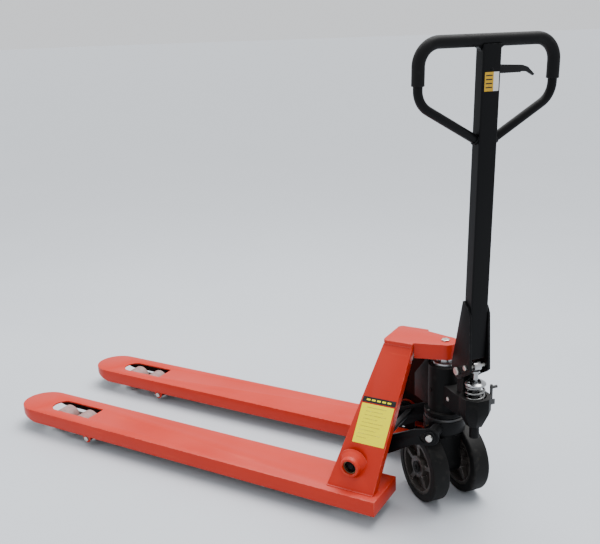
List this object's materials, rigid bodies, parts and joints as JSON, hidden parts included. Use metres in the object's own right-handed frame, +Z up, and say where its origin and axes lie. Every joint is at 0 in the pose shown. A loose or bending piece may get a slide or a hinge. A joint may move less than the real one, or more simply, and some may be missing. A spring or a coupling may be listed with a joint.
{
  "type": "hand pallet truck",
  "caption": "Hand pallet truck with long twin forks, tandem load rollers, steered hydraulic pump unit, and a tall tiller with a closed loop handle and release lever.",
  "frame": {"origin": "middle of the overall length and width, on the floor", "axes": "-X towards the fork tips, +X towards the steer wheels, Y across the forks, +Z up"},
  "size_m": [1.7258, 0.52, 1.2674],
  "materials": {
    "frame_paint": "satin red powder coat",
    "black_paint": "satin black powder coat",
    "black_casting": "black painted casting",
    "wheel_casting": "dark grey-brown painted casting",
    "tyre_rubber": "matte black rubber",
    "grip_rubber": "matte black dipped rubber",
    "black_plastic": "matte moulded plastic",
    "nylon": "scuffed off-white nylon",
    "zinc_steel": "zinc plated steel",
    "bearing_steel": "ground bearing steel",
    "spring_steel": "bright spring wire",
    "chrome": "hard chrome",
    "bronze": "sintered bronze"
  },
  "bodies": {
    "frame": {"fork_left": "frame_paint", "fork_right": "frame_paint", "leg_left": "frame_paint", "leg_right": "frame_paint", "crosshead": "frame_paint", "shaft_bosses": "frame_paint", "shaft_bushes": "bronze", "link_pivot_pins": "zinc_steel", "lift_ram": "chrome"},
    "truss": {"bearing_truss": "black_paint", "trunnion_bolts": "zinc_steel", "thrust_bearing": "bearing_steel"},
    "rocker": {"rocker_shaft": "black_paint", "rocker_arm_left": "black_paint", "rocker_arm_right": "black_paint", "rocker_tie": "black_paint", "rod_levers": "black_paint", "rod_pins": "zinc_steel"},
    "pump": {"pump_base": "black_casting", "pump_body": "black_casting", "oil_tank": "black_casting", "ram_gland": "bearing_steel", "lowering_valve": "zinc_steel", "wheel_axle": "black_casting", "axle_washers": "black_casting"},
    "handle": {"handle_clevis": "black_paint", "handle_column": "black_paint", "handle_loop": "black_paint", "grip_cover": "grip_rubber", "handle_pivot_pin": "zinc_steel", "contact_roller_pin": "zinc_steel", "release_pin": "zinc_steel"},
    "contact_roller": {"contact_roller": "bearing_steel"},
    "plunger": {"pump_plunger": "chrome", "plunger_spring": "spring_steel"},
    "release_lever": {"release_lever": "black_plastic"},
    "release_rod": {"release_rod": "zinc_steel"},
    "valve_lever": {"valve_lever": "zinc_steel"},
    "wheel_left": {"wheel_hub_left": "wheel_casting", "wheel_tyre_left": "tyre_rubber", "wheel_bearings_left": "bearing_steel"},
    "rod_left": {"push_rod_left": "black_paint"},
    "link_left": {"wheel_link_left": "black_paint", "bogie_pin_left": "zinc_steel"},
    "bogie_left": {"bogie_plates_left": "zinc_steel", "roller_axles_left": "zinc_steel", "roller_bushes_left": "bearing_steel"},
    "roller_front_left": {"roller_front_left": "nylon"},
    "roller_rear_left": {"roller_rear_left": "nylon"},
    "wheel_right": {"wheel_hub_right": "wheel_casting", "wheel_tyre_right": "tyre_rubber", "wheel_bearings_right": "bearing_steel"},
    "rod_right": {"push_rod_right": "black_paint"},
    "link_right": {"wheel_link_right": "black_paint", "bogie_pin_right": "zinc_steel"},
    "bogie_right": {"bogie_plates_right": "zinc_steel", "roller_axles_right": "zinc_steel", "roller_bushes_right": "bearing_steel"},
    "roller_front_right": {"roller_front_right": "nylon"},
    "roller_rear_right": {"roller_rear_right": "nylon"}
  },
  "joints": [
    {"name": "lift", "type": "slide", "parent": "frame", "child": "truss", "axis": [0, 0, -1], "range_m": [0, 0.115]},
    {"name": "steer", "type": "hinge", "parent": "truss", "child": "pump", "pos_m": [0.607, 0, 0.226], "axis": [0, 0, 1], "range_deg": [-51, 129]},
    {"name": "handle_tilt", "type": "hinge", "parent": "pump", "child": "handle", "pos_m": [0.69137, -0.06833, 0.42381], "axis": [0.6293, 0.7771, 0], "range_deg": [0, 62], "stiffness_Nm_per_rad": 20, "springref_deg": -17.19},
    {"name": "contact_roller_spin", "type": "hinge", "parent": "handle", "child": "contact_roller", "pos_m": [0.72202, -0.09314, 0.4475], "axis": [0.6293, 0.7771, 0], "continuous": true},
    {"name": "plunger_stroke", "type": "slide", "parent": "pump", "child": "plunger", "axis": [0, 0, -1], "range_m": [0, 0.0485], "deforming": ["plunger_spring"]},
    {"name": "release_squeeze", "type": "hinge", "parent": "handle", "child": "release_lever", "pos_m": [0.73289, -0.10194, 1.18746], "axis": [0.7767, -0.6289, -0.0349], "range_deg": [-10, 10], "stiffness_Nm_per_rad": 2},
    {"name": "release_rod_pull", "type": "slide", "parent": "handle", "child": "release_rod", "axis": [-0.0271, 0.022, -0.9994], "range_m": [-0.0018, 0.0018]},
    {"name": "valve_rock", "type": "hinge", "parent": "pump", "child": "valve_lever", "pos_m": [0.75041, -0.04536, 0.335], "axis": [0.7771, -0.6293, 0], "range_deg": [-6.1, 6.1]},
    {"name": "rocker_swing", "type": "hinge", "parent": "frame", "child": "rocker", "pos_m": [0.419, 0, 0.145], "axis": [0, 1, 0], "range_deg": [0, 33.65]},
    {"name": "wheel_left_spin", "type": "hinge", "parent": "pump", "child": "wheel_left", "pos_m": [0.56735, -0.04896, 0.1], "axis": [0.6293, 0.7771, 0], "continuous": true},
    {"name": "rod_left_swing", "type": "hinge", "parent": "rocker", "child": "rod_left", "pos_m": [0.44239, -0.185, 0.06751], "axis": [0, -1, 0], "range_deg": [0, 33.65]},
    {"name": "link_left_swing", "type": "hinge", "parent": "frame", "child": "link_left", "pos_m": [-0.533, -0.185, 0.026], "axis": [0, -1, 0], "range_deg": [0, 76.1]},
    {"name": "bogie_left_level", "type": "hinge", "parent": "link_left", "child": "bogie_left", "pos_m": [-0.643, -0.185, 0.037], "axis": [0, 1, 0], "range_deg": [0, 76.1]},
    {"name": "roller_front_left_spin", "type": "hinge", "parent": "bogie_left", "child": "roller_front_left", "pos_m": [-0.689, -0.185, 0.037], "axis": [0, 1, 0], "continuous": true},
    {"name": "roller_rear_left_spin", "type": "hinge", "parent": "bogie_left", "child": "roller_rear_left", "pos_m": [-0.597, -0.185, 0.037], "axis": [0, 1, 0], "continuous": true},
    {"name": "wheel_right_spin", "type": "hinge", "parent": "pump", "child": "wheel_right", "pos_m": [0.64665, 0.04896, 0.1], "axis": [0.6293, 0.7771, 0], "continuous": true},
    {"name": "rod_right_swing", "type": "hinge", "parent": "rocker", "child": "rod_right", "pos_m": [0.44239, 0.185, 0.06751], "axis": [0, -1, 0], "range_deg": [0, 33.65]},
    {"name": "link_right_swing", "type": "hinge", "parent": "frame", "child": "link_right", "pos_m": [-0.533, 0.185, 0.026], "axis": [0, -1, 0], "range_deg": [0, 76.1]},
    {"name": "bogie_right_level", "type": "hinge", "parent": "link_right", "child": "bogie_right", "pos_m": [-0.643, 0.185, 0.037], "axis": [0, 1, 0], "range_deg": [0, 76.1]},
    {"name": "roller_front_right_spin", "type": "hinge", "parent": "bogie_right", "child": "roller_front_right", "pos_m": [-0.689, 0.185, 0.037], "axis": [0, 1, 0], "continuous": true},
    {"name": "roller_rear_right_spin", "type": "hinge", "parent": "bogie_right", "child": "roller_rear_right", "pos_m": [-0.597, 0.185, 0.037], "axis": [0, 1, 0], "continuous": true}
  ],
  "couplings": [
    {"joint": "rocker_swing", "follows": "lift", "rad_per_m": 5.0994},
    {"joint": "plunger_stroke", "follows": "handle_tilt", "m_per_rad": 0.0444},
    {"joint": "release_rod_pull", "follows": "release_squeeze", "m_per_rad": 0.009},
    {"joint": "valve_rock", "follows": "release_squeeze", "ratio": 0.6},
    {"joint": "rod_left_swing", "follows": "lift", "rad_per_m": 5.0994},
    {"joint": "link_left_swing", "follows": "lift", "rad_per_m": 11.534},
    {"joint": "bogie_left_level", "follows": "lift", "rad_per_m": 11.534},
    {"joint": "rod_right_swing", "follows": "lift", "rad_per_m": 5.0994},
    {"joint": "link_right_swing", "follows": "lift", "rad_per_m": 11.534},
    {"joint": "bogie_right_level", "follows": "lift", "rad_per_m": 11.534}
  ]
}
